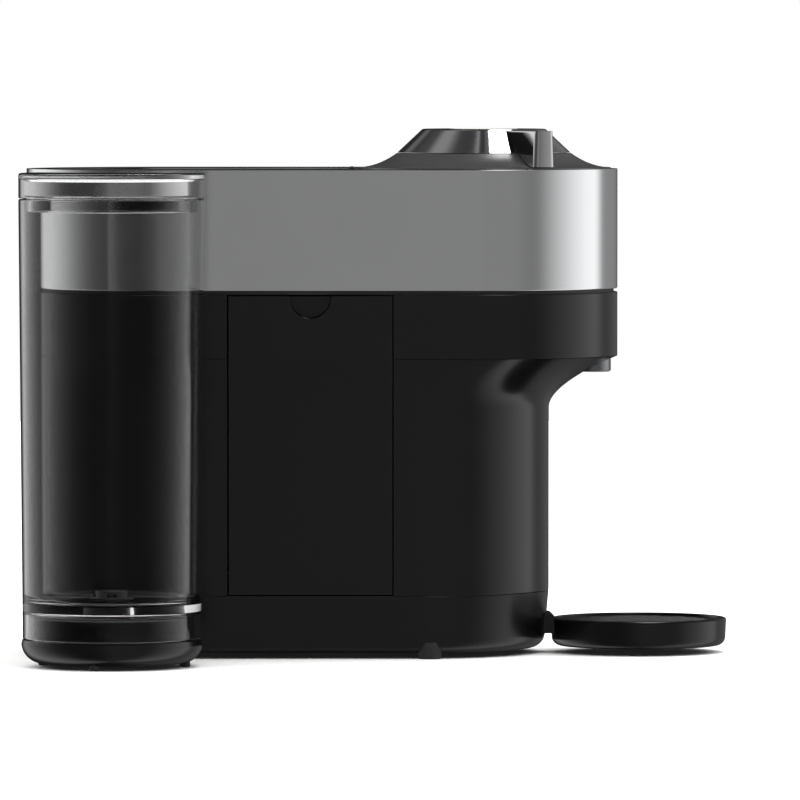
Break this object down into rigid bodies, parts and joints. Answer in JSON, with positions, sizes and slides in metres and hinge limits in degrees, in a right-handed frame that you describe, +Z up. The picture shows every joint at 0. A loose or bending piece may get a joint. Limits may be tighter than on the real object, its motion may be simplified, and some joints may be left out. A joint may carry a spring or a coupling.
{
  "type": "pod coffee machine",
  "caption": "Slim stadium-shaped pod coffee machine with a lever-lock lid, side-pull capsule bin, swinging clear water tank and a round cup stand.",
  "frame": {"origin": "middle of the footprint's bounding box, on the table, with the tank swung out beside the body", "axes": "+X towards the front with the cup stand, +Y from the swung tank towards the body's far side, +Z up"},
  "size_m": [0.3338, 0.2264, 0.2497],
  "materials": {
    "band_paint": "satin silver-grey metallic coat",
    "body_plastic": "fine-textured black moulding",
    "base_plastic": "fine-textured black moulding",
    "inner_plastic": "plain black moulding",
    "lid_plastic": "satin dark grey moulding",
    "knob_chrome": "polished chrome plating",
    "ring_chrome": "polished chrome plating",
    "button_gloss": "polished black moulding",
    "light_white": "frosted diffuser",
    "tank_clear": "clear moulded tank plastic with a slight grey tint",
    "foot_rubber": "matt",
    "seal_rubber": "matt silicone",
    "tube_silicone": "translucent white silicone",
    "pin_steel": "bright drawn steel",
    "spout_steel": "satin pressed steel",
    "motor_steel": "zinc-plated drawn can",
    "magnet_iron": "sintered ferrite",
    "winding_copper": "enamelled copper wire",
    "block_aluminium": "as-cast",
    "pump_plastic": "glass-filled natural nylon",
    "wheel_red": "plain moulding",
    "reader_window": "dark red window",
    "board_green": "green solder mask"
  },
  "bodies": {
    "machine": {"base_shell": "base_plastic", "base_feet": "foot_rubber", "swivel_hub": "inner_plastic", "body_shell": "body_plastic", "neck_cove": "body_plastic", "head_shell": "body_plastic", "chassis_plate": "inner_plastic", "mid_frame": "inner_plastic", "band": "band_paint", "deck": "band_paint", "hinge_bracket": "inner_plastic", "hinge_pin": "pin_steel", "bearing_housing": "inner_plastic", "rotor_bearings": "pin_steel", "motor_can": "motor_steel", "motor_magnets": "magnet_iron", "coffee_collector": "inner_plastic", "chamber_ring": "inner_plastic", "barcode_reader": "reader_window", "capsule_chute": "inner_plastic", "lid_switch": "inner_plastic", "power_board": "board_green", "control_board": "board_green", "pump_body": "pump_plastic", "pump_mounts": "foot_rubber", "flow_meter": "pump_plastic", "thermoblock": "block_aluminium", "cable_gland": "inner_plastic", "water_tubes": "tube_silicone", "bin_bay": "inner_plastic", "spout": "spout_steel", "case_screws": "pin_steel"},
    "lid": {"lid_shell": "lid_plastic", "lid_plate": "inner_plastic", "injector": "inner_plastic", "lid_seal": "seal_rubber", "button_spring": "pin_steel"},
    "lock": {"knob": "knob_chrome", "lever": "knob_chrome", "lock_ring": "inner_plastic", "light_ring": "light_white"},
    "button": {"brew_button": "button_gloss"},
    "plate": {"piercing_plate": "spout_steel"},
    "rotor": {"capsule_cup": "inner_plastic", "drive_shaft": "pin_steel", "motor_core": "winding_copper"},
    "ejector": {"eject_fork": "inner_plastic"},
    "carrier": {"tank_carrier": "body_plastic", "carrier_feet": "foot_rubber"},
    "tank": {"water_tank": "tank_clear", "valve_seat": "inner_plastic", "valve_spring": "pin_steel"},
    "valve": {"valve_plunger": "inner_plastic"},
    "tank_lid": {"tank_lid": "tank_clear", "tank_lid_ring": "ring_chrome"},
    "bin": {"capsule_bin": "body_plastic"},
    "tray": {"drip_tray": "base_plastic"},
    "grid": {"drip_grid": "base_plastic"},
    "pump_piston": {"pump_plunger": "pin_steel"},
    "flow_rotor": {"flow_wheel": "wheel_red"}
  },
  "joints": [
    {"name": "lid_hinge", "type": "hinge", "parent": "machine", "child": "lid", "pos_m": [-0.0119, 0.04519, 0.2295], "axis": [0, -1, 0], "range_deg": [0, 70]},
    {"name": "lock_turn", "type": "hinge", "parent": "lid", "child": "lock", "pos_m": [0.0511, 0.04519, 0.238], "axis": [0, 0, 1], "range_deg": [0, 60]},
    {"name": "button_press", "type": "slide", "parent": "lid", "child": "button", "axis": [0, 0, -1], "range_m": [0, 0.0015], "stiffness_N_per_m": 900, "deforming": ["button_spring"]},
    {"name": "plate_spin", "type": "hinge", "parent": "lid", "child": "plate", "pos_m": [0.0511, 0.04519, 0.225], "axis": [0, 0, 1], "continuous": true},
    {"name": "rotor_spin", "type": "hinge", "parent": "machine", "child": "rotor", "pos_m": [0.0511, 0.04519, 0.16], "axis": [0, 0, 1], "continuous": true},
    {"name": "eject_swing", "type": "hinge", "parent": "machine", "child": "ejector", "pos_m": [0.0061, 0.04519, 0.2228], "axis": [0, -1, 0], "range_deg": [0, 35]},
    {"name": "tank_swing", "type": "hinge", "parent": "machine", "child": "carrier", "pos_m": [-0.0989, 0.04519, 0.008], "axis": [0, 0, -1], "range_deg": [0, 156]},
    {"name": "tank_lift", "type": "slide", "parent": "carrier", "child": "tank", "axis": [0, 0, 1], "range_m": [0, 0.06]},
    {"name": "tank_lid_lift", "type": "slide", "parent": "tank", "child": "tank_lid", "axis": [0, 0, 1], "range_m": [0, 0.03]},
    {"name": "valve_push", "type": "slide", "parent": "tank", "child": "valve", "axis": [0, 0, 1], "range_m": [0, 0.003], "stiffness_N_per_m": 150, "deforming": ["valve_spring"]},
    {"name": "bin_pull", "type": "slide", "parent": "machine", "child": "bin", "axis": [0, -1, 0], "range_m": [0, 0.12]},
    {"name": "tray_pull", "type": "slide", "parent": "machine", "child": "tray", "axis": [1, 0, 0], "range_m": [0, 0.04]},
    {"name": "grid_lift", "type": "slide", "parent": "tray", "child": "grid", "axis": [0, 0, 1], "range_m": [0, 0.02]},
    {"name": "pump_stroke", "type": "slide", "parent": "machine", "child": "pump_piston", "axis": [0, 0, 1], "range_m": [0, 0.004], "stiffness_N_per_m": 400},
    {"name": "flow_spin", "type": "hinge", "parent": "machine", "child": "flow_rotor", "pos_m": [-0.0869, 0.07919, 0.024], "axis": [0, 0, 1], "continuous": true}
  ],
  "couplings": [
    {"joint": "eject_swing", "follows": "lid_hinge", "ratio": 0.5}
  ]
}
